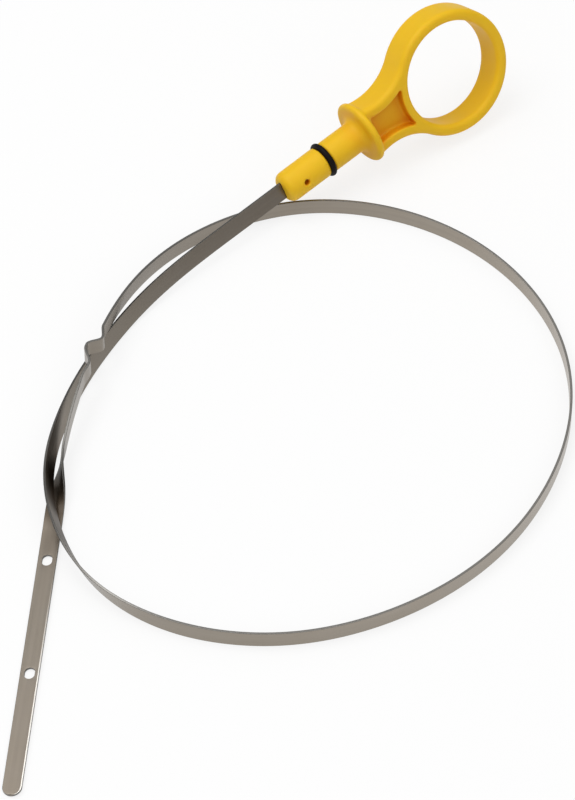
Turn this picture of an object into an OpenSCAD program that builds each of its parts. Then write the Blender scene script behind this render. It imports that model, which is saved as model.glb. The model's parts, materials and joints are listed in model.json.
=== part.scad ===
// Engine oil dipstick, coiled as packed: a moulded handle with a finger ring, its seal, and one long
// spring-steel blade. The floor is z = 0, +X is right and +Y is away from the viewer.

/* [Handle] */
// Inside diameter of the finger ring
ring_bore_d = 35.2; // [33:0.1:37]
// Radial thickness of the finger ring
ring_wall = 4; // [3.6:0.1:4.6]
// Width of the ring and of the neck, along the ring's axis
ring_w = 11.2; // [10:0.1:12]
// Radius of the ring's and the neck's rounded edges
edge_r = 1.6; // [0.8:0.1:1.7]
// Distance from the ring's centre to the middle of the stop flange
neck_len = 36.5; // [35.5:0.1:38]
// Width of the neck where it is narrowest
neck_min_w = 16.9; // [16:0.1:18]
// Radius of the hollow curve down each side of the neck
neck_side_r = 19; // [18:0.5:21]
// Thickness of the neck's rims round the pocket
rim_t = 3.6; // [3.4:0.1:4.2]
// Depth of the pocket on each face of the neck
pocket_depth = 3.6; // [1:0.1:4.2]
// Radial wall between the finger hole and the pocket
pocket_ring_wall = 3.1; // [2.8:0.1:3.5]
// Wall between the flange and the pocket
pocket_from_flange = 1.5; // [1.2:0.1:3]

/* [Flange and stem] */
// Diameter of the stop flange
flange_d = 22.3; // [21:0.1:23.5]
// Thickness of the stop flange
flange_t = 2.7; // [2.5:0.1:3.6]
// Radius of the flange's rounded rim
flange_edge_r = 1.2; // [0.6:0.1:1.2]
// Diameter of the stem
stem_d = 10.8; // [10.2:0.1:11.2]
// Distance from the middle of the flange to the tip of the stem
stem_len = 33.7; // [32:0.1:36]
// Radius of the stem's rounded tip
stem_tip_r = 2.6; // [1.5:0.1:3]
// Radius of the fillet between the stem and the flange
stem_fillet_r = 2.4; // [1:0.1:2.8]
// Diameter of the two locating holes in the stem
locating_d = 2; // [1.2:0.1:2.4]
// Distance from the stem's tip to the locating holes
locating_from_tip = 7; // [6:0.1:10]

/* [Seal] */
// Thickness of the rubber ring
seal_section = 2; // [1.6:0.1:2.2]
// Outside diameter of the rubber ring
seal_od = 12.4; // [12:0.1:12.8]
// Distance from the stem's tip to the rubber ring
seal_from_tip = 17.6; // [16:0.1:20]
// Width of the seal's groove
groove_w = 2.3; // [2.2:0.1:2.8]

/* [Blade] */
// Width of the blade
blade_w = 6; // [5.6:0.1:6.4]
// Thickness of the blade
blade_t = 0.8; // [0.6:0.05:0.9]
// Small bevel along the blade's edges
blade_bevel = 0.12; // [0.05:0.01:0.2]
// Length of the blade inside the stem
blade_in_stem = 13; // [10:0.5:15]
// Height of the stop bump, from its feet to its top
bump_h = 3.8; // [2:0.1:4]
// Depth of the reverse bend on the handle's side of the bump
bump_foot = 1.5; // [0:0.1:1.8]
// Depth of the reverse bend on the tail's side of the bump
bump_heel = 0.7; // [0:0.1:1.8]
// Length of each reverse bend
bump_foot_len = 5; // [4:0.5:8]
// Length of the bump's steep side
bump_rise = 4; // [3.4:0.1:5]
// Length of the bump's flat top
bump_top = 0.8; // [0.5:0.1:3]
// Length of the bump's long side
bump_fall = 6; // [5:0.1:9]

/* [Tail] */
// Distance from the end of the twist to the full-level hole
tail_lead = 4; // [3:0.1:12]
// Width of the two gauge holes, across the blade
gauge_hole_w = 3.2; // [2.4:0.1:3.6]
// Length of the two gauge holes, along the blade
gauge_hole_len = 4.2; // [3.6:0.1:6]
// Distance from the tail's tip to the low-level hole
low_hole_from_tip = 44.9; // [30:0.5:60]
// Distance between the two gauge holes
gauge_span = 43.4; // [20:0.5:50]
// Tilt of the flat tail off the floor, in degrees
tail_tilt = 8; // [4:1:14]

/* [Hidden] */
$fn = 96;
eps = 0.01;
// How far the shapes that cut pass beyond what they cut.
cut = 1;

ring_r = ring_bore_d / 2;
ring_out_r = ring_r + ring_wall;
half_w = ring_w / 2;
flange_x = -neck_len;
tip_x = flange_x - stem_len;
stem_r = stem_d / 2;
seal_x = tip_x + seal_from_tip;
seal_mid_r = seal_od / 2 - seal_section / 2;
groove_r = seal_mid_r - 0.42 * seal_section;

// The handle's lie: turned towards the ring's end, pitched up a little and rolled on its side.
handle_yaw = 39.85;
handle_pitch = 8.6;
handle_roll = 65.3;
ring_axis_z = cos(handle_pitch) * cos(handle_roll);
ring_z = (ring_out_r - edge_r) * sqrt(1 - ring_axis_z * ring_axis_z)
    + (half_w - edge_r) * ring_axis_z + edge_r;
ring_at = [49.05, 129.67, ring_z];
handle_dir = [cos(handle_pitch) * cos(handle_yaw), cos(handle_pitch) * sin(handle_yaw), sin(handle_pitch)];

// The coil, about its own centre: [radius, height of the blade's middle] at each step of the angle.
coil_at = [0.3, -6.5];
coil_from = 120;
coil_step = 15;
coil = [
    [72.7, 6], [69.6, 3.8], [68.4, 2.9], [69.9, 3], [73.4, 4.4],
    [80, 6.6], [86.2, 7.4], [90.3, 4.4], [89.3, 3], [87.1, 3],
    [84.4, 3], [81.6, 3], [80, 3], [79.8, 3], [80.6, 3],
    [82.4, 3], [85.5, 3], [88.9, 3], [91.7, 3], [93.6, 3],
    [94.5, 3], [93.9, 3], [91.9, 3], [86.8, 3.6], [80.7, 5.2],
    [74.1, 8.1], [69.4, 9.6], [67.8, 9.8], [69.9, 7.3]
];
// A smoothing curve runs inside its points, so the points of the coil stand out by this ratio.
stand_out = 6 / (4 + 2 * cos(coil_step));

// The tail's line on the floor, and the heights where the blade comes down into it.
tail_at = [-76.1, -55.7];
tail_heading = 264.9;
tail_step = 11.5;
tail_z = blade_w / 2 * sin(tail_tilt) + blade_t / 2 * cos(tail_tilt);
tail_len = tail_lead + gauge_span + low_hole_from_tip;
down_to_tail = [4.6, 2.6, tail_z];
tail_dir = [cos(tail_heading), sin(tail_heading), 0];

// Angles along the coil between which the blade turns upright, and then twists flat for the tail.
upright_from = 210;
upright_to = 250;
twist_from = 551;
twist_to = 584;
// Angle along the coil where the bump starts.
bump_from = 516.2;

function on_axis(x) = ring_at + x * handle_dir;
function on_coil(i) = let(a = coil_from + i * coil_step, r = coil[i][0] * stand_out)
    [coil_at[0] + r * cos(a), coil_at[1] + r * sin(a), coil[i][1]];
function on_tail(i, z) = [tail_at[0], tail_at[1], z] + i * tail_step * tail_dir;

n_coil = len(coil);
n_down = len(down_to_tail);
lead_step = 18;
route = concat(
    [for (i = [2 : -1 : -1]) on_axis(tip_x + i * lead_step)],
    [for (i = [0 : n_coil - 1]) on_coil(i)],
    [for (i = [0 : n_down - 1]) on_tail(i - n_down, down_to_tail[i])],
    [on_tail(0, tail_z), on_tail(1, tail_z)]
);
n_route = len(route);

// Point of the smoothing curve at u, counted in steps from the second point of the route.
function spline(u) = let(
    i = min(floor(u), n_route - 4),
    f = u - i,
    a = (1 - f) * (1 - f) * (1 - f),
    b = 3 * f * f * f - 6 * f * f + 4,
    c = -3 * f * f * f + 3 * f * f + 3 * f + 1,
    d = f * f * f)
    (a * route[i] + b * route[i + 1] + c * route[i + 2] + d * route[i + 3]) / 6;

function unit(v) = v / norm(v);
function ease(x) = let(t = max(0, min(1, x))) (1 - cos(180 * t)) / 2;
// The angle along the coil at u.
function angle_at(u) = coil_from + (u - 3) * coil_step;

// The bump stands out from the coil between two reverse bends. It is steep on the handle's side.
bump_u = 3 + (bump_from - coil_from) / coil_step;
bump_step = coil_step * PI / 180 * 68;
bump_len = bump_rise + bump_top + bump_fall;
function bump(u) = let(s = (u - bump_u) * bump_step)
    bump_h * ease(s / bump_rise)
    - (bump_h - bump_foot + bump_heel) * ease((s - bump_rise - bump_top) / bump_fall)
    - bump_foot * ease(s / bump_foot_len + 1)
    + bump_heel * ease((s - bump_len) / bump_foot_len);
function heading(u) = unit(spline(u + 0.01) - spline(u - 0.01));
function inward(t) = unit(cross([0, 0, 1], t));
function middle(u) = bump(u) == 0 ? spline(u) : spline(u) - bump(u) * inward(heading(u));
function direction(u) = unit(middle(u + 0.002) - middle(u - 0.002));

// Lean of the blade's flat from upright, in degrees.
function lean(u) = let(a = angle_at(u))
    (90 - handle_roll) * (1 - ease((a - upright_from) / (upright_to - upright_from)))
    - (90 - tail_tilt) * ease((a - twist_from) / (twist_to - twist_from));

// The blade's section: across its thickness and along its width, with bevelled edges.
half_t = blade_t / 2;
half_b = blade_w / 2;
section = [
    [half_t, -half_b + blade_bevel], [half_t, half_b - blade_bevel],
    [half_t - blade_bevel, half_b], [-half_t + blade_bevel, half_b],
    [-half_t, half_b - blade_bevel], [-half_t, -half_b + blade_bevel],
    [-half_t + blade_bevel, -half_b], [half_t - blade_bevel, -half_b]
];
n_sec = len(section);

function ring_of(u) = let(
    m = middle(u),
    t = direction(u),
    i = inward(t),
    p = cross(t, i),
    l = lean(u),
    across = cos(l) * i + sin(l) * p,
    along = cos(l) * p - sin(l) * i)
    [for (q = section) m + q[0] * across + q[1] * along];

// Where the rings of the sweep stand: close together at the bump, wider round the coil.
start_u = 1 - blade_in_stem / lead_step;
end_u = n_route - 3;
bump_in_u = bump_u - bump_foot_len / bump_step;
bump_out_u = bump_u + (bump_len + bump_foot_len) / bump_step;
function spread(from, to, step) = let(n = ceil((to - from) / step))
    [for (i = [0 : n - 1]) from + (to - from) * i / n];
stops = concat(
    [start_u, 1],
    spread(1.2, bump_in_u, 0.2),
    spread(bump_in_u, bump_out_u, 0.03),
    spread(bump_out_u, end_u, 0.12),
    [end_u]
);

module sweep(rings) {
    n = len(rings);
    points = [for (r = rings) each r];
    sides = [
        for (k = [0 : n - 2], j = [0 : n_sec - 1])
            let(a = k * n_sec + j, b = k * n_sec + (j + 1) % n_sec)
                each [[a, b + n_sec, b], [a, a + n_sec, b + n_sec]]
    ];
    caps = [
        for (j = [1 : n_sec - 2])
            each [[0, j, j + 1], [(n - 1) * n_sec, (n - 1) * n_sec + j + 1, (n - 1) * n_sec + j]]
    ];
    polyhedron(points, concat(sides, caps));
}

module oblong(len, w) {
    hull()
        for (s = [-1, 1])
            translate([s * (len - w) / 2, 0])
                circle(d = w);
}

// The flat tail, from the end of the sweep to its full-round tip, with its two gauge holes.
module tail_flat() {
    translate([tail_at[0], tail_at[1], tail_z])
        rotate([0, 0, tail_heading])
            rotate([tail_tilt, 0, 0])
                difference() {
                    union() {
                        translate([0, -half_b + blade_bevel, -half_t])
                            cube([tail_len - half_b, blade_w - 2 * blade_bevel, blade_t]);
                        translate([0, -half_b, -half_t + blade_bevel])
                            cube([tail_len - half_b, blade_w, blade_t - 2 * blade_bevel]);
                        translate([tail_len - half_b, 0, -half_t + blade_bevel])
                            cylinder(d = blade_w, h = blade_t - 2 * blade_bevel);
                        translate([tail_len - half_b, 0, -half_t])
                            cylinder(d = blade_w - 2 * blade_bevel, h = blade_t);
                    }
                    for (from_tip = [low_hole_from_tip, low_hole_from_tip + gauge_span])
                        translate([tail_len - from_tip, 0, -blade_t])
                            linear_extrude(2 * blade_t)
                                oblong(gauge_hole_len, gauge_hole_w);
                }
}

module blade() {
    color("#8c8276") {
        sweep([for (u = stops) ring_of(u)]);
        tail_flat();
    }
}

// Places a shape drawn round the ring's centre, with the handle along X and the ring's axis along Z.
module in_place() {
    translate(ring_at)
        rotate([handle_roll, -handle_pitch, handle_yaw])
            children();
}

// A rectangle with rounded corners, centred.
module rounded(w, h, r) {
    square([w - 2 * r, h], center = true);
    square([w, h - 2 * r], center = true);
    for (x = [-1, 1], y = [-1, 1])
        translate([x * (w / 2 - r), y * (h / 2 - r)])
            circle(r);
}

module finger_ring() {
    rotate_extrude()
        translate([ring_r + ring_wall / 2, 0])
            rounded(ring_wall, ring_w, edge_r);
}

// Space beside the neck: a disc whose rims flare, so that it leaves the neck's edges rounded. It laps
// a little over the ring, so that the neck's sides cross the ring's outside.
side_lap = 0.05;
side_y = neck_min_w / 2 + neck_side_r;
side_x = -sqrt(pow(ring_out_r + neck_side_r - side_lap, 2) - side_y * side_y);
module beside_neck() {
    rotate_extrude()
        difference() {
            translate([0, -half_w - cut])
                square([neck_side_r + edge_r, ring_w + 2 * cut]);
            for (s = [-1, 1])
                translate([neck_side_r + edge_r, s * (half_w - edge_r)])
                    circle(edge_r);
            translate([neck_side_r, -half_w + edge_r])
                square([edge_r + cut, ring_w - 2 * edge_r]);
        }
}

module pocket() {
    intersection() {
        translate([flange_x + flange_t / 2 + pocket_from_flange, -neck_min_w / 2, 0])
            cube([neck_len, neck_min_w, half_w + cut]);
        difference() {
            translate([flange_x, -side_y, 0])
                cube([neck_len, 2 * side_y, half_w + cut]);
            for (s = [-1, 1])
                translate([side_x, s * side_y, -cut])
                    cylinder(r = neck_side_r + rim_t, h = half_w + 3 * cut);
            translate([0, 0, -cut])
                cylinder(r = ring_r + pocket_ring_wall, h = half_w + 3 * cut);
        }
    }
}

// The neck's outline ends in the middle of that lap.
meet = (ring_out_r - side_lap / 2) / (ring_out_r + neck_side_r - side_lap);
module neck() {
    difference() {
        translate([0, 0, -half_w])
            linear_extrude(ring_w)
                polygon([
                    [0, 0], [meet * side_x, meet * side_y], [flange_x, flange_d / 2],
                    [flange_x, -flange_d / 2], [meet * side_x, -meet * side_y]
                ]);
        for (s = [-1, 1])
            translate([side_x, s * side_y, 0])
                beside_neck();
        translate([0, 0, -half_w - cut])
            cylinder(r = ring_r + ring_wall / 2, h = ring_w + 2 * cut);
    }
}

// Profile of the flange and stem, turned about the handle's length.
module flange_and_stem() {
    translate([tip_x, 0, 0])
        rotate([0, 90, 0])
            rotate_extrude()
                difference() {
                    union() {
                        translate([0, stem_tip_r])
                            square([stem_r, stem_len - stem_tip_r]);
                        square([stem_r - stem_tip_r, stem_len]);
                        intersection() {
                            translate([stem_r - stem_tip_r, stem_tip_r])
                                circle(stem_tip_r);
                            square(stem_r);
                        }
                        translate([0, stem_len - flange_t / 2])
                            square([flange_d / 2 - flange_edge_r, flange_t]);
                        translate([0, stem_len - flange_t / 2 + flange_edge_r])
                            square([flange_d / 2, flange_t - 2 * flange_edge_r]);
                        for (s = [-1, 1])
                            translate([
                                flange_d / 2 - flange_edge_r,
                                stem_len + s * (flange_t / 2 - flange_edge_r)
                            ])
                                circle(flange_edge_r);
                        difference() {
                            translate([stem_r - eps, stem_len - flange_t / 2 - stem_fillet_r])
                                square([stem_fillet_r + eps, stem_fillet_r + eps]);
                            translate([
                                stem_r + stem_fillet_r,
                                stem_len - flange_t / 2 - stem_fillet_r
                            ])
                                circle(stem_fillet_r);
                        }
                    }
                    translate([groove_r, seal_from_tip - groove_w / 2])
                        square([stem_d, groove_w]);
                }
}

module handle() {
    color("#ebbe2d")
        in_place()
            difference() {
                union() {
                    finger_ring();
                    neck();
                    flange_and_stem();
                }
                for (side = [0, 180])
                    rotate([side, 0, 0])
                        translate([0, 0, half_w - pocket_depth])
                            pocket();
                // Slot that the blade is moulded into, and the locating holes down to its faces.
                translate([tip_x - cut, -half_b, -half_t])
                    cube([blade_in_stem + cut, blade_w, blade_t]);
                translate([tip_x + locating_from_tip, 0, -stem_r - cut])
                    cylinder(d = locating_d, h = stem_d + 2 * cut);
            }
}

module o_ring() {
    color("#140a0f")
        in_place()
            translate([seal_x, 0, 0])
                rotate([0, 90, 0])
                    rotate_extrude()
                        difference() {
                            translate([seal_mid_r, 0])
                                circle(seal_section / 2);
                            translate([0, -seal_section])
                                square([groove_r, 2 * seal_section]);
                        }
}

handle();
o_ring();
blade();
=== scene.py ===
"""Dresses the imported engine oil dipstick: its moulded handle, its rubber seal, its spring-steel
blade, and a plain stage seen from above and in front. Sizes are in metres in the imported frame."""

import json
import math

import bmesh
import bpy
from bpy.props import (
    FloatProperty,
    FloatVectorProperty,
    IntProperty,
    PointerProperty,
)
from mathutils import Matrix, Vector


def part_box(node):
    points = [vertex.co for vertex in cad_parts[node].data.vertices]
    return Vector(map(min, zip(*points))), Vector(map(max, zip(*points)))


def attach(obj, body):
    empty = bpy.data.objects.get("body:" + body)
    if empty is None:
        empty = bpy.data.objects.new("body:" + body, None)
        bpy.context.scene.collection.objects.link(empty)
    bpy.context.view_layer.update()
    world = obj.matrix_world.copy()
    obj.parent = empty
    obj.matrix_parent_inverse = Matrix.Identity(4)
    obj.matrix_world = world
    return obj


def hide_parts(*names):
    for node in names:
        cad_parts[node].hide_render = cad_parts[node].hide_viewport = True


bl_info = {
    "name": "Oil dipstick dressing",
    "version": (1, 0, 0),
    "blender": (4, 5, 0),
    "location": "3D View > Sidebar > Dipstick",
    "description": "Builds the handle, seal, blade and stage of a coiled oil dipstick",
    "category": "Object",
}

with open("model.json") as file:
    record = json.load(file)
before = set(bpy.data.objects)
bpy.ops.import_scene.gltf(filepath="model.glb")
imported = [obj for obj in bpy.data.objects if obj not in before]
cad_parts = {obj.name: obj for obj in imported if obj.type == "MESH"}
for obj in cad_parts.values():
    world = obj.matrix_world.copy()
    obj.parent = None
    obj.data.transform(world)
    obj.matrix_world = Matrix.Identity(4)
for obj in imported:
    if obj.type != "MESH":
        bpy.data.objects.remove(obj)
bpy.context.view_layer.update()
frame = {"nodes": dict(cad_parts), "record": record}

MM = 0.001
# Vertices closer together than this count as one.
WELD = 0.001 * MM
MOUNTS = {mount["name"]: mount for mount in frame["record"]["mounts"]}

# Point of the floor that the camera looks at.
LOOK_AT = (-2.7 * MM, 5.5 * MM, 0.0)

# --- Property groups -------------------------------------------------------------------------


class HandleSettings(bpy.types.PropertyGroup):
    """Finish of the moulded handle."""

    grain: FloatProperty(
        name="Skin cell",
        description="Size of the cells that the moulded skin is remeshed to",
        default=0.32 * MM,
        min=0.2 * MM,
        max=1.0 * MM,
        precision=5,
        subtype="DISTANCE",
        unit="LENGTH",
    )
    softness: IntProperty(
        name="Edge softness",
        description="Rounds of smoothing that turn sharp edges into moulded ones",
        default=7,
        min=0,
        max=30,
    )
    flange_softness: IntProperty(
        name="Flange softness",
        description="Further rounds of smoothing round the stop flange",
        default=24,
        min=0,
        max=60,
    )
    colour: FloatVectorProperty(
        name="Plastic",
        description="Colour of the moulded plastic",
        default=(0.84, 0.505, 0.012),
        subtype="COLOR",
        min=0.0,
        max=1.0,
    )
    # Painted shade: the richer orange that the plastic is given in its pockets and corners.
    hollow_shade_colour: FloatVectorProperty(
        name="Painted shade in hollows",
        description="Richer colour that the plastic shows in its pockets and corners",
        default=(0.76, 0.27, 0.002),
        subtype="COLOR",
        min=0.0,
        max=1.0,
    )


class SealSettings(bpy.types.PropertyGroup):
    """Sizes and finish of the rubber ring on the stem."""

    section: FloatProperty(
        name="Section",
        description="Thickness of the rubber ring",
        default=2.0 * MM,
        precision=5,
        subtype="DISTANCE",
        unit="LENGTH",
    )
    outside: FloatProperty(
        name="Outside diameter",
        description="Outside diameter of the rubber ring",
        default=12.4 * MM,
        precision=5,
        subtype="DISTANCE",
        unit="LENGTH",
    )
    colour: FloatVectorProperty(
        name="Rubber",
        description="Colour of the rubber",
        default=(0.003, 0.0022, 0.0024),
        subtype="COLOR",
        min=0.0,
        max=1.0,
    )


class BladeSettings(bpy.types.PropertyGroup):
    """Sizes and finish of the spring-steel blade."""

    width: FloatProperty(
        name="Width",
        description="Width of the blade",
        default=6.0 * MM,
        precision=5,
        subtype="DISTANCE",
        unit="LENGTH",
    )
    thickness: FloatProperty(
        name="Thickness",
        description="Thickness of the blade",
        default=0.8 * MM,
        precision=5,
        subtype="DISTANCE",
        unit="LENGTH",
    )
    gauge_hole: FloatProperty(
        name="Gauge hole width",
        description="Width of the two oil level holes, across the blade",
        default=3.2 * MM,
        precision=5,
        subtype="DISTANCE",
        unit="LENGTH",
    )
    gauge_length: FloatProperty(
        name="Gauge hole length",
        description="Length of the two oil level holes, along the blade",
        default=4.2 * MM,
        precision=5,
        subtype="DISTANCE",
        unit="LENGTH",
    )
    colour: FloatVectorProperty(
        name="Steel",
        description="Colour of the rolled faces",
        default=(0.375, 0.335, 0.288),
        subtype="COLOR",
        min=0.0,
        max=1.0,
    )
    edge_colour: FloatVectorProperty(
        name="Cut edge",
        description="Colour of the sheared cut edges",
        default=(0.23, 0.22, 0.205),
        subtype="COLOR",
        min=0.0,
        max=1.0,
    )


class StageSettings(bpy.types.PropertyGroup):
    """Camera, lamps and floor."""

    distance: FloatProperty(
        name="Camera distance",
        description="Distance from the camera to the point that it looks at",
        default=1.5,
        subtype="DISTANCE",
        unit="LENGTH",
    )
    elevation: FloatProperty(
        name="Camera elevation",
        description="Height of the camera above the floor, as an angle",
        default=math.radians(50),
        subtype="ANGLE",
        unit="ROTATION",
    )
    lens: FloatProperty(
        name="Lens",
        description="Focal length of the camera",
        default=213.6,
        subtype="DISTANCE_CAMERA",
        unit="CAMERA",
    )
    lamp_power: FloatProperty(
        name="Main lamp",
        description="Power of the large soft lamp",
        default=8.0,
        subtype="POWER",
        unit="POWER",
    )


# --- Mesh helpers ----------------------------------------------------------------------------


def new_piece(name, bm):
    """A smooth-shaded object at the origin, from a bmesh that is in place already."""
    mesh = bpy.data.meshes.new(name)
    bm.to_mesh(mesh)
    bm.free()
    mesh.shade_smooth()
    piece = bpy.data.objects.new(name, mesh)
    bpy.context.scene.collection.objects.link(piece)
    return piece


def finished_bmesh(piece):
    """The mesh of a piece with its modifiers applied. The piece itself is removed."""
    bpy.context.view_layer.update()
    shown = piece.evaluated_get(bpy.context.evaluated_depsgraph_get())
    bm = bmesh.new()
    bm.from_mesh(shown.to_mesh())
    shown.to_mesh_clear()
    mesh = piece.data
    bpy.data.objects.remove(piece)
    bpy.data.meshes.remove(mesh)
    return bm


def dress(piece, material, slot, *nodes):
    """Gives a piece its material and its body, and hides the nodes it stands for. Its slot is not
    used.
    """
    piece.data.materials.clear()
    piece.data.materials.append(material)
    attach(piece, "root")
    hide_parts(*nodes)


def handle_frame():
    """Matrix of the handle's own frame: ring centre, X away from the stem, Z on the ring's axis."""
    ring, stem = MOUNTS["finger_ring"], MOUNTS["stem"]
    along = -Vector(stem["axis"]).normalized()
    across = Vector(ring["axis"]).normalized().cross(along).normalized()
    axes = Matrix((along, across, along.cross(across))).transposed()
    return Matrix.Translation(ring["pos_m"]) @ axes.to_4x4()


# --- Node helpers ----------------------------------------------------------------------------


def new_material(name):
    """A material with a Principled BSDF. Returns the material, its tree and the shader."""
    material = bpy.data.materials.new(name)
    material.use_nodes = True
    tree = material.node_tree
    return material, tree, tree.nodes["Principled BSDF"]


def add(tree, kind, label="", **values):
    """Adds a node. Values go to attributes of that name, or else to inputs of that name."""
    node = tree.nodes.new(kind)
    node.label = label
    for key, value in values.items():
        if hasattr(node, key):
            setattr(node, key, value)
        else:
            node.inputs[key.replace("_", " ")].default_value = value
    return node


def feed(tree, given, socket):
    """Gives a socket a link from another socket, or else a plain value."""
    if isinstance(given, bpy.types.NodeSocket):
        tree.links.new(given, socket)
    else:
        socket.default_value = given


def compute(tree, label, operation, *values):
    """A math node fed with sockets or plain values. Returns its result."""
    node = add(tree, "ShaderNodeMath", label, operation=operation)
    for given, socket in zip(values, node.inputs):
        feed(tree, given, socket)
    return node.outputs[0]


def map_range(tree, label, value, source=(0.0, 1.0), target=(0.0, 1.0)):
    """A value mapped from one range to another. Returns its result."""
    node = add(tree, "ShaderNodeMapRange", label)
    tree.links.new(value, node.inputs["Value"])
    node.inputs["From Min"].default_value, node.inputs["From Max"].default_value = source
    node.inputs["To Min"].default_value, node.inputs["To Max"].default_value = target
    return node.outputs["Result"]


def mix(tree, label, factor, first, second, blend="MIX"):
    """Two colours mixed, each a socket or a plain colour. Returns the mixed colour."""
    node = add(tree, "ShaderNodeMix", label, data_type="RGBA", blend_type=blend)
    factor_in, first_in, second_in = node.inputs[0], node.inputs[6], node.inputs[7]
    feed(tree, factor, factor_in)
    feed(tree, first, first_in)
    feed(tree, second, second_in)
    return node.outputs[2]


def ramp(tree, label, value, stops):
    """A smooth ramp over stops of (place, colour), in order. Returns its colour."""
    node = add(tree, "ShaderNodeValToRGB", label)
    node.color_ramp.interpolation = "EASE"
    first, *between, last = stops
    for stop, (at, colour) in zip(node.color_ramp.elements, (first, last)):
        stop.position = at
        stop.color = colour
    for at, colour in between:
        node.color_ramp.elements.new(at).color = colour
    tree.links.new(value, node.inputs["Fac"])
    return node.outputs["Color"]


def openness(tree, label, reach):
    """How open a surface is to its own piece within reach: 1 in the open and 0 in a hollow."""
    node = add(tree, "ShaderNodeAmbientOcclusion", label, samples=8)
    node.only_local = True
    node.inputs["Distance"].default_value = reach
    return node.outputs["AO"]


def roughen(tree, shader, label, height, strength, depth):
    """Roughens a shader's normal by a height, which stands for a relief of that depth."""
    node = add(tree, "ShaderNodeBump", label, Strength=strength)
    node.inputs["Distance"].default_value = depth
    tree.links.new(height, node.inputs["Height"])
    tree.links.new(node.outputs["Normal"], shader.inputs["Normal"])


def rgba(colour, level=1.0):
    """A colour with full alpha, made lighter or darker by a level."""
    return (*[level * part for part in colour], 1.0)


def new_group(name, inputs, outputs):
    """A shader node group. Inputs are (name, kind, default), outputs are (name, kind)."""
    group = bpy.data.node_groups.new(name, "ShaderNodeTree")
    for label, kind, default in inputs:
        socket = group.interface.new_socket(label, in_out="INPUT", socket_type=kind)
        if default is not None:
            socket.default_value = default
    for label, kind in outputs:
        group.interface.new_socket(label, in_out="OUTPUT", socket_type=kind)
    return group, group.nodes.new("NodeGroupInput"), group.nodes.new("NodeGroupOutput")


def place_group(tree, group, label, **values):
    """Puts a group in a material, with its own values."""
    node = tree.nodes.new("ShaderNodeGroup")
    node.node_tree = group
    node.label = label
    for key, value in values.items():
        node.inputs[key.replace("_", " ")].default_value = value
    return node


def moulded_skin_group():
    """Fine pebbled skin of a moulding: a height, and a mask that drifts slowly over it."""
    if "Moulded skin" in bpy.data.node_groups:
        return bpy.data.node_groups["Moulded skin"]
    group, given, out = new_group(
        "Moulded skin",
        [
            ("Vector", "NodeSocketVector", None),
            ("Pebble", "NodeSocketFloat", 2500.0),
            ("Drift", "NodeSocketFloat", 90.0),
        ],
        [("Height", "NodeSocketFloat"), ("Tone", "NodeSocketFloat")],
    )
    pebble = add(group, "ShaderNodeTexNoise", "Pebble", Detail=3.0, Roughness=0.55)
    drift = add(group, "ShaderNodeTexNoise", "Drift", Detail=4.0, Roughness=0.6)
    link = group.links.new
    link(given.outputs["Vector"], pebble.inputs["Vector"])
    link(given.outputs["Pebble"], pebble.inputs["Scale"])
    link(given.outputs["Vector"], drift.inputs["Vector"])
    link(given.outputs["Drift"], drift.inputs["Scale"])
    link(pebble.outputs["Fac"], out.inputs["Height"])
    link(drift.outputs["Fac"], out.inputs["Tone"])
    return group


def moulded_skin(tree, pebble, drift):
    """Puts the skin of a moulding in a material, with its own scales. Returns its node."""
    place = add(tree, "ShaderNodeTexCoord")
    skin = place_group(tree, moulded_skin_group(), "Skin", Pebble=pebble, Drift=drift)
    tree.links.new(place.outputs["Object"], skin.inputs["Vector"])
    return skin


def rolled_grain_group():
    """Grain of rolled strip: fine lines along U, with longer streaks of tone over them."""
    if "Rolled grain" in bpy.data.node_groups:
        return bpy.data.node_groups["Rolled grain"]
    group, given, out = new_group(
        "Rolled grain",
        [
            ("UV", "NodeSocketVector", None),
            ("Line length", "NodeSocketFloat", 60.0),
            ("Line density", "NodeSocketFloat", 9000.0),
        ],
        [
            ("Lines", "NodeSocketFloat"),
            ("Streaks", "NodeSocketFloat"),
            ("Cloud", "NodeSocketFloat"),
        ],
    )
    link = group.links.new
    parts = add(group, "ShaderNodeSeparateXYZ")
    link(given.outputs["UV"], parts.inputs["Vector"])

    def scaled(axis, socket, factor):
        size = compute(group, socket, "MULTIPLY", parts.outputs[axis], given.outputs[socket])
        return compute(group, "Stretched", "MULTIPLY", size, factor)

    for label, stretch, spread, detail in (
        ("Lines", 1.0, 1.0, 2.0),
        ("Streaks", 0.35, 0.12, 3.0),
        ("Cloud", 1.2, 0.02, 3.0),
    ):
        vector = add(group, "ShaderNodeCombineXYZ")
        link(scaled("X", "Line length", stretch), vector.inputs["X"])
        link(scaled("Y", "Line density", spread), vector.inputs["Y"])
        noise = add(group, "ShaderNodeTexNoise", label, Scale=1.0, Detail=detail)
        link(vector.outputs["Vector"], noise.inputs["Vector"])
        link(noise.outputs["Fac"], out.inputs[label])
    return group


# --- Handle ----------------------------------------------------------------------------------

# How far from the stop flange its further rounds of smoothing reach, in millimetres.
FLANGE_REACHES = (5.0, 4.5, 4.0, 3.5)


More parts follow.
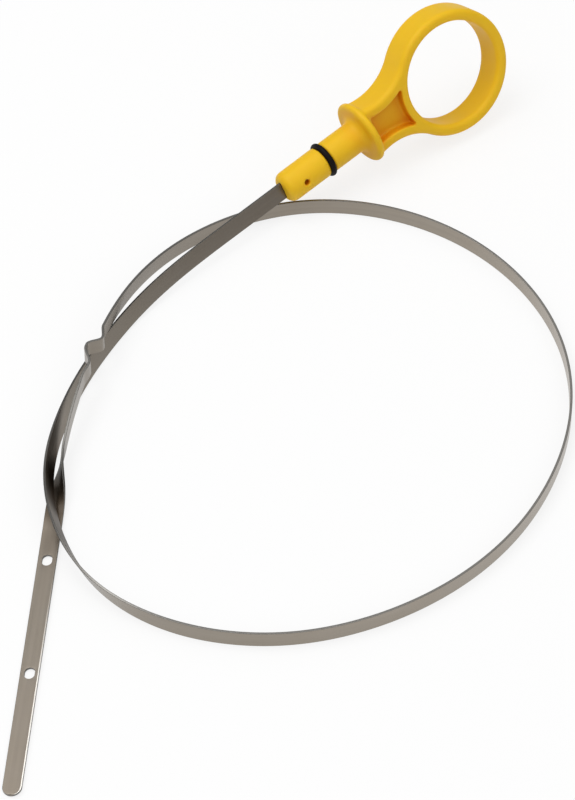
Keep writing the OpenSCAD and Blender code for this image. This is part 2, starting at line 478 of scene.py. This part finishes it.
def plastic_material(settings):
    """Yellow moulded plastic: a pebbled skin, a slow drift of tone, and painted shade, a richer
    orange, in its hollows.
    """
    material, tree, shader = new_material("Yellow plastic")
    link = tree.links.new
    skin = moulded_skin(tree, pebble=2600.0, drift=70.0)
    drift = skin.outputs["Tone"]

    # Painted shade: hollows and corners, found by occlusion, are mixed towards the richer orange.
    hollows = openness(tree, "Hollows", reach=9 * MM)
    spread = map_range(tree, "Spread of hollows", hollows, source=(0.4, 0.95))
    shade = mix(tree, "Plastic", spread, rgba(settings.hollow_shade_colour), rgba(settings.colour))
    tint = add(tree, "ShaderNodeHueSaturation", "Drift of tone")
    link(shade, tint.inputs["Color"])
    link(map_range(tree, "Tone", drift, target=(0.94, 1.05)), tint.inputs["Value"])
    link(tint.outputs["Color"], shader.inputs["Base Color"])

    link(map_range(tree, "Roughness", drift, target=(0.42, 0.58)), shader.inputs["Roughness"])
    roughen(tree, shader, "Pebbled skin", skin.outputs["Height"], strength=0.18, depth=0.04 * MM)
    shader.inputs["Specular IOR Level"].default_value = 0.22
    shader.inputs["Subsurface Weight"].default_value = 0.12
    shader.inputs["Subsurface Radius"].default_value = (1.0, 0.45, 0.08)
    shader.inputs["Subsurface Scale"].default_value = 1.2 * MM
    return material


class DIPSTICK_OT_handle(bpy.types.Operator):
    """Builds the moulded handle, with the soft edges that a mould leaves"""

    bl_idname = "dipstick.handle"
    bl_label = "Handle"

    def execute(self, context):
        settings = context.scene.dipstick_handle
        to_world = handle_frame()

        # The skin is remeshed in the handle's own frame, so that its cells line up with it.
        bm = bmesh.new()
        bm.from_mesh(frame["nodes"]["handle"].data)
        bmesh.ops.remove_doubles(bm, verts=bm.verts, dist=WELD)
        bmesh.ops.transform(bm, matrix=to_world.inverted(), verts=bm.verts)
        rough = new_piece("handle_rough", bm)
        skin = rough.modifiers.new("Skin", "REMESH")
        skin.mode = "VOXEL"
        skin.voxel_size = settings.grain

        bm = finished_bmesh(rough)
        # The stop flange is softened again and again, each time over a shorter reach.
        flange = (to_world.inverted() @ Vector(MOUNTS["tube_seat"]["pos_m"])).x
        regions = [list(bm.verts)] * settings.softness
        for reach in FLANGE_REACHES:
            near = [vert for vert in bm.verts if abs(vert.co.x - flange) < reach * MM]
            regions += [near] * (settings.flange_softness // len(FLANGE_REACHES))
        for verts in regions:
            bmesh.ops.smooth_vert(
                bm, verts=verts, factor=0.5, use_axis_x=True, use_axis_y=True, use_axis_z=True
            )
        bmesh.ops.transform(bm, matrix=to_world, verts=bm.verts)
        handle = new_piece("moulded_handle", bm)
        dress(handle, plastic_material(settings), "handle_plastic", "handle")
        return {"FINISHED"}


# --- Seal ------------------------------------------------------------------------------------

SEAL_SECTION_STOPS, SEAL_TURN_STOPS = 28, 120
# The ring is pressed flat at this share of its section from its middle.
SEAL_FLAT_AT = 0.42
# How much lighter than the rubber its bloom is.
BLOOM_LEVEL = 2.6


def rubber_material(settings):
    """Black moulded rubber, slightly oily, with a faint bloom."""
    material, tree, shader = new_material("Seal rubber")
    link = tree.links.new
    skin = moulded_skin(tree, pebble=4200.0, drift=600.0)
    drift = skin.outputs["Tone"]

    bloom = mix(tree, "Bloom", drift, rgba(settings.colour), rgba(settings.colour, BLOOM_LEVEL))
    link(bloom, shader.inputs["Base Color"])
    link(map_range(tree, "Oily", drift, target=(0.42, 0.68)), shader.inputs["Roughness"])
    roughen(tree, shader, "Rubber skin", skin.outputs["Height"], strength=0.25, depth=0.03 * MM)
    shader.inputs["Specular IOR Level"].default_value = 0.12
    return material


class DIPSTICK_OT_seal(bpy.types.Operator):
    """Builds the rubber ring in the stem's groove"""

    bl_idname = "dipstick.seal"
    bl_label = "Rubber ring"

    def execute(self, context):
        settings = context.scene.dipstick_seal
        low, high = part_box("o_ring")
        to_world = handle_frame()
        centre = to_world.inverted() @ ((low + high) / 2)
        radius = settings.section / 2
        middle = settings.outside / 2 - radius

        bm = bmesh.new()
        bmesh.ops.create_circle(
            bm,
            segments=SEAL_SECTION_STOPS,
            radius=radius,
            matrix=Matrix.Translation((centre.x, middle, 0)),
        )
        # The inner side is pressed flat on the groove's floor.
        floor = middle - SEAL_FLAT_AT * settings.section
        for vert in bm.verts:
            vert.co.y = max(vert.co.y, floor)
        bmesh.ops.remove_doubles(bm, verts=bm.verts, dist=2 * WELD)
        bmesh.ops.spin(
            bm,
            geom=list(bm.verts) + list(bm.edges),
            cent=(centre.x, 0, 0),
            axis=(1, 0, 0),
            angle=2 * math.pi,
            steps=SEAL_TURN_STOPS,
            use_merge=True,
        )
        bmesh.ops.remove_doubles(bm, verts=bm.verts, dist=WELD)
        bmesh.ops.recalc_face_normals(bm, faces=bm.faces)
        bmesh.ops.transform(bm, matrix=to_world, verts=bm.verts)
        seal = new_piece("rubber_ring", bm)
        dress(seal, rubber_material(settings), "seal_rubber", "o_ring")
        return {"FINISHED"}


# --- Blade -----------------------------------------------------------------------------------

# The blade's route, in millimetres and degrees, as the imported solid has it. Each point of the coil
# is given as (radius, height of the blade's middle), a step of the angle after the one before.
HALF_WIDTH, HALF_THICKNESS = 3.0, 0.4
STEM_TIP_X = -70.2
BLADE_IN_STEM = 13.0
LEAD_STEP = 18.0
# Steps along the route from its second point to the coil's first.
LEAD_STEPS = 3
COIL_AT = (0.3, -6.5)
COIL_FROM = 120
COIL_STEP = 15
COIL = (
    (72.7, 6), (69.6, 3.8), (68.4, 2.9), (69.9, 3), (73.4, 4.4),
    (80, 6.6), (86.2, 7.4), (90.3, 4.4), (89.3, 3), (87.1, 3),
    (84.4, 3), (81.6, 3), (80, 3), (79.8, 3), (80.6, 3),
    (82.4, 3), (85.5, 3), (88.9, 3), (91.7, 3), (93.6, 3),
    (94.5, 3), (93.9, 3), (91.9, 3), (86.8, 3.6), (80.7, 5.2),
    (74.1, 8.1), (69.4, 9.6), (67.8, 9.8), (69.9, 7.3),
)  # fmt: skip
TAIL_AT = (-76.1, -55.7)
TAIL_HEADING = 264.9
TAIL_STEP = 11.5
TAIL_TILT = 8
TAIL_LEN = 92.3
DOWN_TO_TAIL = (4.6, 2.6)
HANDLE_ROLL = 65.3
UPRIGHT_FROM, UPRIGHT_TO = 210, 250
TWIST_FROM, TWIST_TO = 551, 584
HOLES_FROM_TIP = (44.9, 88.3)
EDGE_ROUND = 0.14 * MM

# How closely the sections follow one another, in steps of the route and as counts.
LEAD_STOP, BUMP_STOP, COIL_STOP = 0.1, 0.02, 0.06
TAIL_STOPS, TIP_STOPS, HOLE_STOPS = 24, 12, 48
# How far to each side of a point, in steps of the route, the direction of the curve and of the
# blade itself is taken.
CURVE_NUDGE, BLADE_NUDGE = 0.01, 0.002

# The stop bump pressed in the blade.
BUMP_FROM = 516.2
BUMP_HEIGHT = 3.8
BUMP_FOOT, BUMP_HEEL, BUMP_FOOT_LEN = 1.5, 0.7, 5.0
BUMP_RISE, BUMP_TOP, BUMP_FALL = 4.0, 0.8, 6.0
BUMP_LEN = BUMP_RISE + BUMP_TOP + BUMP_FALL
BUMP_U = LEAD_STEPS + (BUMP_FROM - COIL_FROM) / COIL_STEP
# Millimetres of blade per step of the route, at the coil's radius by the bump.
BUMP_RADIUS = 68
BUMP_STEP = math.radians(COIL_STEP) * BUMP_RADIUS

# Painted shade along the blade, as (share of its length, level): darker towards the handle,
# darkest just past the crossing and at the twist, and at full level in the middle of the coil.
SHADE_ALONG_BLADE = (
    (0.0, 0.6), (0.15, 0.61), (0.165, 0.68), (0.181, 1.0), (0.192, 0.64), (0.2, 0.56),
    (0.222, 0.42), (0.237, 0.46), (0.256, 0.82), (0.5, 1.0), (0.76, 0.68),
    (0.832, 0.68), (0.846, 0.42), (0.861, 0.5), (0.873, 0.7), (1.0, 0.68),
)  # fmt: skip
TONE_TINT, END_TINT = (1.0, 1.0, 0.99), (1.0, 0.985, 0.965)
# Levels of the streaks along the blade, tints of its clouds, and the painted shade of strands near
# each other.
STREAK_LEVELS = (0.86, 1.12)
CLOUD_TINT = (0.90, 0.86, 0.80)
NEAR_SHADE_TINT = (0.56, 0.51, 0.46)

# Painted shade round the place where the strand from the handle crosses the twist.
CROSSING_SHADE_AT = (-72.5 * MM, -34 * MM, 4 * MM)
CROSSING_SHADE_REACH = 32 * MM
CROSSING_SHADE_TINTS = (
    (0.25, (0.27, 0.225, 0.18, 1.0)),
    (0.46, (0.86, 0.83, 0.80, 1.0)),
    (1.0, (1.0, 1.0, 1.0, 1.0)),
)

# Weight of the thin film of oil over the whole blade.
FILM_WEIGHT = 0.4

# A painted highlight along the tail's raised edge: its width, how far down the tail it starts and
# is full, and how much lighter than a cut edge it is.
HIGHLIGHT_WIDTH = 0.42 * MM
HIGHLIGHT_FROM, HIGHLIGHT_TO = 10 * MM, 50 * MM
HIGHLIGHT_LEVEL = 3.6


def tail_ahead():
    """Direction of the flat tail."""
    heading = math.radians(TAIL_HEADING)
    return Vector((math.cos(heading), math.sin(heading), 0))


def tail_height():
    """Height of the flat tail's middle, in millimetres. Its lower edge rests on the floor."""
    tilt = math.radians(TAIL_TILT)
    return HALF_WIDTH * math.sin(tilt) + HALF_THICKNESS * math.cos(tilt)


def blade_route(to_world):
    """Points that the blade's smoothing curve runs by, from inside the stem to the tail."""
    points = [
        to_world @ Vector(((STEM_TIP_X + i * LEAD_STEP) * MM, 0, 0)) / MM for i in (2, 1, 0, -1)
    ]
    # A smoothing curve cuts its corners, so the coil's points stand out by this much.
    stand_out = 6 / (4 + 2 * math.cos(math.radians(COIL_STEP)))
    for i, (radius, height) in enumerate(COIL):
        angle = math.radians(COIL_FROM + i * COIL_STEP)
        reach = radius * stand_out
        points.append(
            Vector(
                (
                    COIL_AT[0] + reach * math.cos(angle),
                    COIL_AT[1] + reach * math.sin(angle),
                    height,
                )
            )
        )
    # The last points come down to the flat tail, and run on in line with it past its start.
    step = TAIL_STEP * tail_ahead()
    for i, height in enumerate((*DOWN_TO_TAIL, *[tail_height()] * 3), -3):
        points.append(Vector((*TAIL_AT, height)) + i * step)
    return points


def on_curve(route, u):
    """Point of the smoothing curve at u, counted in steps from the second point of the route."""
    i = min(int(u), len(route) - 4)
    f = u - i
    weights = (
        (1 - f) ** 3,
        3 * f**3 - 6 * f**2 + 4,
        -3 * f**3 + 3 * f**2 + 3 * f + 1,
        f**3,
    )
    return sum((w * route[i + k] for k, w in enumerate(weights)), Vector()) / 6


def ease(x):
    """A smooth step from 0 to 1, as x goes from 0 to 1."""
    return (1 - math.cos(math.pi * max(0.0, min(1.0, x)))) / 2


def bump_at(u):
    """How far the blade stands out from its curve, round the stop bump."""
    s = (u - BUMP_U) * BUMP_STEP
    return (
        BUMP_HEIGHT * ease(s / BUMP_RISE)
        - (BUMP_HEIGHT - BUMP_FOOT + BUMP_HEEL) * ease((s - BUMP_RISE - BUMP_TOP) / BUMP_FALL)
        - BUMP_FOOT * ease(s / BUMP_FOOT_LEN + 1)
        + BUMP_HEEL * ease((s - BUMP_LEN) / BUMP_FOOT_LEN)
    )


def lean_at(u):
    """Lean of the blade's flat from upright, in degrees."""
    angle = COIL_FROM + (u - LEAD_STEPS) * COIL_STEP
    return (90 - HANDLE_ROLL) * (
        1 - ease((angle - UPRIGHT_FROM) / (UPRIGHT_TO - UPRIGHT_FROM))
    ) - (90 - TAIL_TILT) * ease((angle - TWIST_FROM) / (TWIST_TO - TWIST_FROM))


def blade_frame(route, u):
    """Matrix of the blade's section at u: X through its thickness, Y across its width."""

    def inward(at):
        ahead = on_curve(route, at + CURVE_NUDGE) - on_curve(route, at - CURVE_NUDGE)
        return Vector((0, 0, 1)).cross(ahead).normalized()

    def middle(at):
        out = bump_at(at)
        point = on_curve(route, at)
        return point - out * inward(at) if out else point

    ahead = (middle(u + BLADE_NUDGE) - middle(u - BLADE_NUDGE)).normalized()
    side = Vector((0, 0, 1)).cross(ahead).normalized()
    up = ahead.cross(side)
    lean = math.radians(lean_at(u))
    across = math.cos(lean) * side + math.sin(lean) * up
    along = math.cos(lean) * up - math.sin(lean) * side
    axes = Matrix((across, along, across.cross(along))).transposed()
    return Matrix.Translation(middle(u) * MM) @ axes.to_4x4()


def blade_stops(route):
    """Where the sections of the blade stand: close together at the stop bump."""
    first, last = 1 - BLADE_IN_STEM / LEAD_STEP, len(route) - 3
    bump_in = BUMP_U - BUMP_FOOT_LEN / BUMP_STEP
    bump_out = BUMP_U + (BUMP_LEN + BUMP_FOOT_LEN) / BUMP_STEP

    def spread(start, end, step):
        count = math.ceil((end - start) / step)
        return [start + (end - start) * i / count for i in range(count)]

    return [
        first,
        1.0,
        *spread(1.0 + LEAD_STOP, bump_in, LEAD_STOP),
        *spread(bump_in, bump_out, BUMP_STOP),
        *spread(bump_out, last, COIL_STOP),
        last,
    ]


def tail_frame(reach):
    """Matrix of the flat tail's section, at a distance from the end of the twist."""
    tilt, ahead = math.radians(TAIL_TILT), tail_ahead()
    side = Vector((0, 0, 1)).cross(ahead)
    along = math.cos(tilt) * side + math.sin(tilt) * Vector((0, 0, 1))
    axes = Matrix((along.cross(ahead), along, ahead)).transposed()
    middle = Vector((*TAIL_AT, tail_height())) * MM + reach * ahead
    return Matrix.Translation(middle) @ axes.to_4x4()


def blade_places(route, half_width):
    """Frames of the blade's sections, each with its share of the full width, down to the tip."""
    places = [(blade_frame(route, u), 1.0) for u in blade_stops(route)[:-1]]
    tip_from = TAIL_LEN * MM - half_width
    places += [(tail_frame(i * tip_from / TAIL_STOPS), 1.0) for i in range(TAIL_STOPS + 1)]
    for i in range(1, TIP_STOPS):
        angle = math.radians(90 * i / TIP_STOPS)
        places.append((tail_frame(tip_from + half_width * math.sin(angle)), math.cos(angle)))
    return places


def start_section(bm, settings, rim):
    """The blade's section, flat on the floor plane: X through its thickness, Y across its width.
    Each vertex is told its distance round the rim from the middle of one cut edge."""
    bmesh.ops.create_grid(bm, x_segments=1, y_segments=1, size=1.0)
    bmesh.ops.scale(bm, vec=(settings.thickness / 2, settings.width / 2, 1), verts=bm.verts)
    bmesh.ops.bevel(
        bm,
        geom=list(bm.verts),
        offset=EDGE_ROUND,
        offset_type="OFFSET",
        segments=3,
        profile=0.5,
        affect="VERTICES",
        material=-1,
    )
    bm.faces.ensure_lookup_table()
    ring = [loop.vert for loop in bm.faces[0].loops]
    # The ring of vertices starts where the first cut edge meets one of its rounded corners.
    first = min(range(len(ring)), key=lambda i: (ring[i].co.y - ring[i].co.x * 0.1))
    ring = ring[first:] + ring[:first]
    distance = abs(ring[0].co.x)
    for vert, following in zip(ring, ring[1:] + ring[:1]):
        vert[rim] = distance
        distance += (following.co - vert.co).length
    return distance - abs(ring[0].co.x)


def sweep_section(bm, places, run):
    """Extrudes the section from each place to the next. Each vertex is told its distance along the
    blade. Returns the blade's length."""
    bm.faces.ensure_lookup_table()
    end, before, travelled = bm.faces[0], places[0][0], 0.0
    bmesh.ops.transform(bm, matrix=before, verts=bm.verts)
    for place, share in places[1:]:
        travelled += (place.translation - before.translation).length
        made = bmesh.ops.extrude_face_region(bm, geom=[end])["geom"]
        verts = [g for g in made if isinstance(g, bmesh.types.BMVert)]
        # Past the first section, the old end is left inside the blade and has to go.
        if any(len(edge.link_faces) > 2 for edge in end.edges):
            bmesh.ops.delete(bm, geom=[end], context="FACES_ONLY")
        end = next(g for g in made if isinstance(g, bmesh.types.BMFace))
        narrow = Matrix.Diagonal((1, share, 1, 1))
        bmesh.ops.transform(bm, matrix=place @ narrow @ before.inverted(), verts=verts)
        for vert in verts:
            vert[run] = travelled
        before = place @ narrow
    return travelled


def lay_strip_map(bm, rim, run, turn):
    """UV map of the blade in metres: U along it, V round its rim."""
    strip = bm.loops.layers.uv.new("Strip")
    for face in bm.faces:
        rims = [loop.vert[rim] for loop in face.loops]
        closes = max(rims) - min(rims) > turn / 2
        for loop, distance in zip(face.loops, rims):
            if closes and distance < turn / 2:
                distance += turn
            loop[strip].uv = (loop.vert[run], distance)


def drill_gauge_hole(blade, settings, from_tip, number):
    """Cuts one oblong gauge hole through the tail. Returns the blade with its hole."""
    radius = settings.gauge_hole / 2
    drill = bmesh.new()
    bmesh.ops.create_cone(
        drill,
        cap_ends=True,
        segments=HOLE_STOPS,
        radius1=radius,
        radius2=radius,
        depth=4 * settings.thickness,
    )
    stretch = (settings.gauge_length - settings.gauge_hole) / 2
    # The two halves move apart, and what lies in the middle goes with the right one.
    for vert in drill.verts:
        vert.co.x += math.copysign(stretch, vert.co.x + WELD)
    place = tail_frame((TAIL_LEN - from_tip) * MM) @ Matrix.Rotation(math.pi / 2, 4, "Y")
    bmesh.ops.transform(drill, matrix=place, verts=drill.verts)
    cutter = new_piece(f"gauge_drill_{number}", drill)
    hole = blade.modifiers.new("Gauge hole", "BOOLEAN")
    hole.operation = "DIFFERENCE"
    hole.solver = "EXACT"
    hole.object = cutter
    bm = finished_bmesh(blade)
    bpy.data.objects.remove(cutter)
    return new_piece("spring_blade", bm)


def steel_masks(tree, strip, settings, length, turn):
    """Masks of the steel: its cut edges, and the band of painted highlight along the tail's raised
    edge. X of the strip map runs along the blade, and Y runs round it from the middle of one cut
    edge."""
    rim, half_turn = settings.thickness / 2, turn / 2
    # The distance round the section, from the middle of the nearer cut edge.
    fold = compute(tree, "Both faces alike", "PINGPONG", strip.outputs["Y"], half_turn / 2)
    edge = map_range(tree, "Cut edge", fold, source=(1.25 * rim, 0.9 * rim))

    # Painted highlight: one cut edge of the tail is lit up along a band, fuller towards the tip.
    band = rim + HIGHLIGHT_WIDTH
    raised = compute(tree, "Raised edge", "COMPARE", strip.outputs["Y"], half_turn, band)
    tail_from = length - TAIL_LEN * MM
    highlight_span = (tail_from + HIGHLIGHT_FROM, tail_from + HIGHLIGHT_TO)
    highlight_towards_tip = map_range(tree, "Highlight fuller towards the tip", strip.outputs["X"], source=highlight_span)
    return edge, compute(tree, "Raised edge highlight mask", "MULTIPLY", raised, highlight_towards_tip)


def steel_faces(tree, grain, tone, settings):
    """Colour of the rolled faces: streaks and clouds, and painted shade along the blade, where
    strands meet, and round the crossing."""
    dark, light = [rgba(settings.colour, level) for level in STREAK_LEVELS]
    streaks = mix(tree, "Streaks of tone", grain.outputs["Streaks"], dark, light)
    cloud = grain.outputs["Cloud"]
    clouds = mix(tree, "Clouds of tone", cloud, streaks, rgba(CLOUD_TINT), "MULTIPLY")
    # Painted shade: the streaked colour is darkened along the blade by the ramp above.
    shaded_along = mix(tree, "Shaded along the blade", 1.0, clouds, tone, "MULTIPLY")

    # Painted shade: steel is darkened where strands lie close to one another.
    open_sky = openness(tree, "Strands near", reach=3 * MM)
    near = map_range(tree, "Nearness of strands", open_sky, source=(0.75, 0.35))
    shaded_between = mix(tree, "Painted shade where strands meet", near, shaded_along, rgba(NEAR_SHADE_TINT), "MULTIPLY")

    # Painted shade about the crossing: darkest at its middle and fading out over its reach.
    place = add(tree, "ShaderNodeTexCoord")
    away = add(tree, "ShaderNodeVectorMath", "From the crossing", operation="DISTANCE")
    tree.links.new(place.outputs["Object"], away.inputs[0])
    away.inputs[1].default_value = CROSSING_SHADE_AT
    reach = map_range(tree, "Reach of the crossing shade", away.outputs["Value"], source=(0.0, CROSSING_SHADE_REACH))
    # Colour of the painted shade, from deep at the middle to none at its reach.
    oil = ramp(tree, "Deep to faint crossing shade", reach, CROSSING_SHADE_TINTS)
    return mix(tree, "Painted crossing shade", 1.0, shaded_between, oil, "MULTIPLY")


def steel_material(settings, length, turn):
    """Rolled spring steel of that length and turn round its section: grain along the blade, clouds
    of tone, painted shade, duller cut edges, and a painted highlight by the raised edge of the tail."""
    material, tree, shader = new_material("Spring steel")
    link = tree.links.new
    strip_map = add(tree, "ShaderNodeUVMap", uv_map="Strip")
    grain = place_group(tree, rolled_grain_group(), "Grain", Line_length=55.0, Line_density=7000.0)
    link(strip_map.outputs["UV"], grain.inputs["UV"])
    strip = add(tree, "ShaderNodeSeparateXYZ")
    link(strip_map.outputs["UV"], strip.inputs["Vector"])

    share = map_range(tree, "Share of the length", strip.outputs["X"], source=(0.0, length))
    stops = [
        (at, rgba(TONE_TINT if 0.0 < at < 1.0 else END_TINT, level)) for at, level in SHADE_ALONG_BLADE
    ]
    tone = ramp(tree, "Painted shade ramp", share, stops)
    faces = steel_faces(tree, grain, tone, settings)
    # The cut edges take the painted shade along the blade too.
    dull = mix(tree, "Dull edges", 1.0, rgba(settings.edge_colour), tone, "MULTIPLY")
    edge, edge_highlight = steel_masks(tree, strip, settings, length, turn)
    # Colour of the painted highlight, lighter than a cut edge.
    bright = rgba(settings.edge_colour, HIGHLIGHT_LEVEL)
    base = mix(tree, "Cut edges", edge, mix(tree, "Highlight painted on the edge", edge_highlight, faces, bright), dull)
    link(base, shader.inputs["Base Color"])

    streaks = grain.outputs["Streaks"]
    link(map_range(tree, "Roughness", streaks, target=(0.3, 0.46)), shader.inputs["Roughness"])
    roughen(tree, shader, "Rolling lines", grain.outputs["Lines"], strength=0.3, depth=0.01 * MM)
    shader.inputs["Metallic"].default_value = 1.0

    # A thin film of oil, dulled with the steel's reflection tint where the painted shade is darkest.
    film = map_range(tree, "Clear film", tone, source=(0.4, 0.56), target=(0.42, 1.0))
    weight = compute(tree, "Weight of the film", "MULTIPLY", film, FILM_WEIGHT)
    link(film, shader.inputs["Specular Tint"])
    link(weight, shader.inputs["Coat Weight"])
    shader.inputs["Coat Roughness"].default_value = 0.22
    return material


class DIPSTICK_OT_blade(bpy.types.Operator):
    """Draws the spring-steel blade along its route, with its stop bump, twist and gauge holes"""

    bl_idname = "dipstick.blade"
    bl_label = "Blade"

    def execute(self, context):
        settings = context.scene.dipstick_blade
        places = blade_places(blade_route(handle_frame()), settings.width / 2)
        bm = bmesh.new()
        rim = bm.verts.layers.float.new("rim")
        run = bm.verts.layers.float.new("run")
        turn = start_section(bm, settings, rim)
        length = sweep_section(bm, places, run)
        bmesh.ops.recalc_face_normals(bm, faces=bm.faces)
        lay_strip_map(bm, rim, run, turn)
        for layer in ("rim", "run"):
            bm.verts.layers.float.remove(bm.verts.layers.float[layer])
        blade = new_piece("spring_blade", bm)
        for number, from_tip in enumerate(HOLES_FROM_TIP, 1):
            blade = drill_gauge_hole(blade, settings, from_tip, number)

        shading = blade.modifiers.new("Faces keep their own shading", "WEIGHTED_NORMAL")
        shading.mode = "FACE_AREA"
        dress(blade, steel_material(settings, length, turn), "blade_steel", "blade")
        return {"FINISHED"}


# --- Stage -----------------------------------------------------------------------------------

# The floor reaches this far to each side, and lies this much below the part that rests on it.
FLOOR_SIZE = 6.0
FLOOR_DROP = 0.05 * MM
# How much of the floor's look is plain white, where it is seen.
FLOOR_WHITE = 0.8

# Place and size of each lamp, and the power of the front one as a share of the main one.
MAIN_LAMP = ((-0.5, 0.14, 1.3), 0.9)
FRONT_LAMP = ((0.6, -0.9, 0.7), 0.7)
FRONT_SHARE = 0.25


def floor_material():
    """Pale floor that stays near white in view and keeps the shadows that fall on it."""
    material, tree, shader = new_material("Pale floor")
    link = tree.links.new
    shader.inputs["Base Color"].default_value = (0.9, 0.9, 0.9, 1.0)
    shader.inputs["Roughness"].default_value = 0.9
    place = add(tree, "ShaderNodeTexCoord")
    grain = add(tree, "ShaderNodeTexNoise", "Paper", Scale=900.0, Detail=2.0)
    link(place.outputs["Object"], grain.inputs["Vector"])
    roughen(tree, shader, "Paper", grain.outputs["Fac"], strength=0.03, depth=0.1 * MM)

    glow = add(tree, "ShaderNodeEmission", "White ground", Strength=1.0)
    path = add(tree, "ShaderNodeLightPath")
    seen = [path.outputs[f"Is {kind} Ray"] for kind in ("Camera", "Glossy", "Transmission")]
    mirrored = compute(tree, "Seen or mirrored", "MAXIMUM", seen[0], seen[1])
    through = compute(tree, "Or seen through", "MAXIMUM", mirrored, seen[2])
    blend = add(tree, "ShaderNodeMixShader")
    link(compute(tree, "Share of white", "MULTIPLY", through, FLOOR_WHITE), blend.inputs["Fac"])
    link(shader.outputs["BSDF"], blend.inputs[1])
    link(glow.outputs["Emission"], blend.inputs[2])
    link(blend.outputs["Shader"], tree.nodes["Material Output"].inputs["Surface"])
    return material


def soft_lamp(name, place, size, power):
    """A square white area lamp at a place, turned to the middle of the part."""
    data = bpy.data.lights.new(name, "AREA")
    data.shape = "SQUARE"
    data.size = size
    data.energy = power
    lamp = bpy.data.objects.new(name, data)
    lamp.location = place
    lamp.rotation_euler = (-Vector(place)).to_track_quat("-Z", "Y").to_euler()
    bpy.context.scene.collection.objects.link(lamp)


def soft_room():
    """A plain room whose ceiling is lighter than its walls."""
    world = bpy.data.worlds.new("Soft room")
    world.use_nodes = True
    tree = world.node_tree
    way = add(tree, "ShaderNodeTexCoord")
    parts = add(tree, "ShaderNodeSeparateXYZ")
    tree.links.new(way.outputs["Generated"], parts.inputs["Vector"])
    height = parts.outputs["Z"]
    strength = map_range(tree, "Wall to ceiling", height, source=(0.1, 1.0), target=(0.08, 1.0))
    tree.links.new(strength, tree.nodes["Background"].inputs["Strength"])
    tree.nodes["Background"].inputs["Color"].default_value = (1, 1, 1, 1)
    return world


class DIPSTICK_OT_stage(bpy.types.Operator):
    """Lays the floor and sets the camera and the lamps"""

    bl_idname = "dipstick.stage"
    bl_label = "Stage"

    def execute(self, context):
        settings = context.scene.dipstick_stage
        scene = context.scene

        bm = bmesh.new()
        bmesh.ops.create_grid(bm, x_segments=1, y_segments=1, size=FLOOR_SIZE)
        bmesh.ops.translate(bm, vec=(0, 0, -FLOOR_DROP), verts=bm.verts)
        floor = new_piece("floor", bm)
        floor.data.materials.append(floor_material())

        data = bpy.data.cameras.new("camera")
        data.lens = settings.lens
        data.clip_end = 100.0
        camera = bpy.data.objects.new("camera", data)
        back = Vector((0, -math.cos(settings.elevation), math.sin(settings.elevation)))
        camera.location = Vector(LOOK_AT) + settings.distance * back
        camera.rotation_euler = (-back).to_track_quat("-Z", "Y").to_euler()
        scene.collection.objects.link(camera)
        scene.camera = camera

        soft_lamp("main_lamp", *MAIN_LAMP, settings.lamp_power)
        soft_lamp("front_lamp", *FRONT_LAMP, FRONT_SHARE * settings.lamp_power)
        scene.world = soft_room()
        scene.view_settings.view_transform = "Standard"
        return {"FINISHED"}


# --- Panel and registration ------------------------------------------------------------------


class DIPSTICK_PT_panel(bpy.types.Panel):
    """Lists the pieces of the dipstick and their sizes"""

    bl_idname = "DIPSTICK_PT_panel"
    bl_label = "Oil dipstick"
    bl_space_type = "VIEW_3D"
    bl_region_type = "UI"
    bl_category = "Dipstick"

    def draw(self, context):
        for operator, settings in BUILD_ORDER:
            box = self.layout.box()
            box.operator(operator)
            group = getattr(context.scene, settings)
            for key in group.bl_rna.properties.keys():
                if key not in {"rna_type", "name"}:
                    box.prop(group, key)


BUILD_ORDER = (
    ("dipstick.handle", "dipstick_handle"),
    ("dipstick.seal", "dipstick_seal"),
    ("dipstick.blade", "dipstick_blade"),
    ("dipstick.stage", "dipstick_stage"),
)
CLASSES = (
    HandleSettings,
    SealSettings,
    BladeSettings,
    StageSettings,
    DIPSTICK_OT_handle,
    DIPSTICK_OT_seal,
    DIPSTICK_OT_blade,
    DIPSTICK_OT_stage,
    DIPSTICK_PT_panel,
)


def register():
    for cls in CLASSES:
        bpy.utils.register_class(cls)
    bpy.types.Scene.dipstick_handle = PointerProperty(type=HandleSettings)
    bpy.types.Scene.dipstick_seal = PointerProperty(type=SealSettings)
    bpy.types.Scene.dipstick_blade = PointerProperty(type=BladeSettings)
    bpy.types.Scene.dipstick_stage = PointerProperty(type=StageSettings)


def unregister():
    del bpy.types.Scene.dipstick_stage
    del bpy.types.Scene.dipstick_blade
    del bpy.types.Scene.dipstick_seal
    del bpy.types.Scene.dipstick_handle
    for cls in reversed(CLASSES):
        bpy.utils.unregister_class(cls)


def main():
    register()
    bpy.ops.dipstick.handle()
    bpy.ops.dipstick.seal()
    bpy.ops.dipstick.blade()
    bpy.ops.dipstick.stage()
    bpy.context.view_layer.update()


if __name__ == "__main__":
    main()
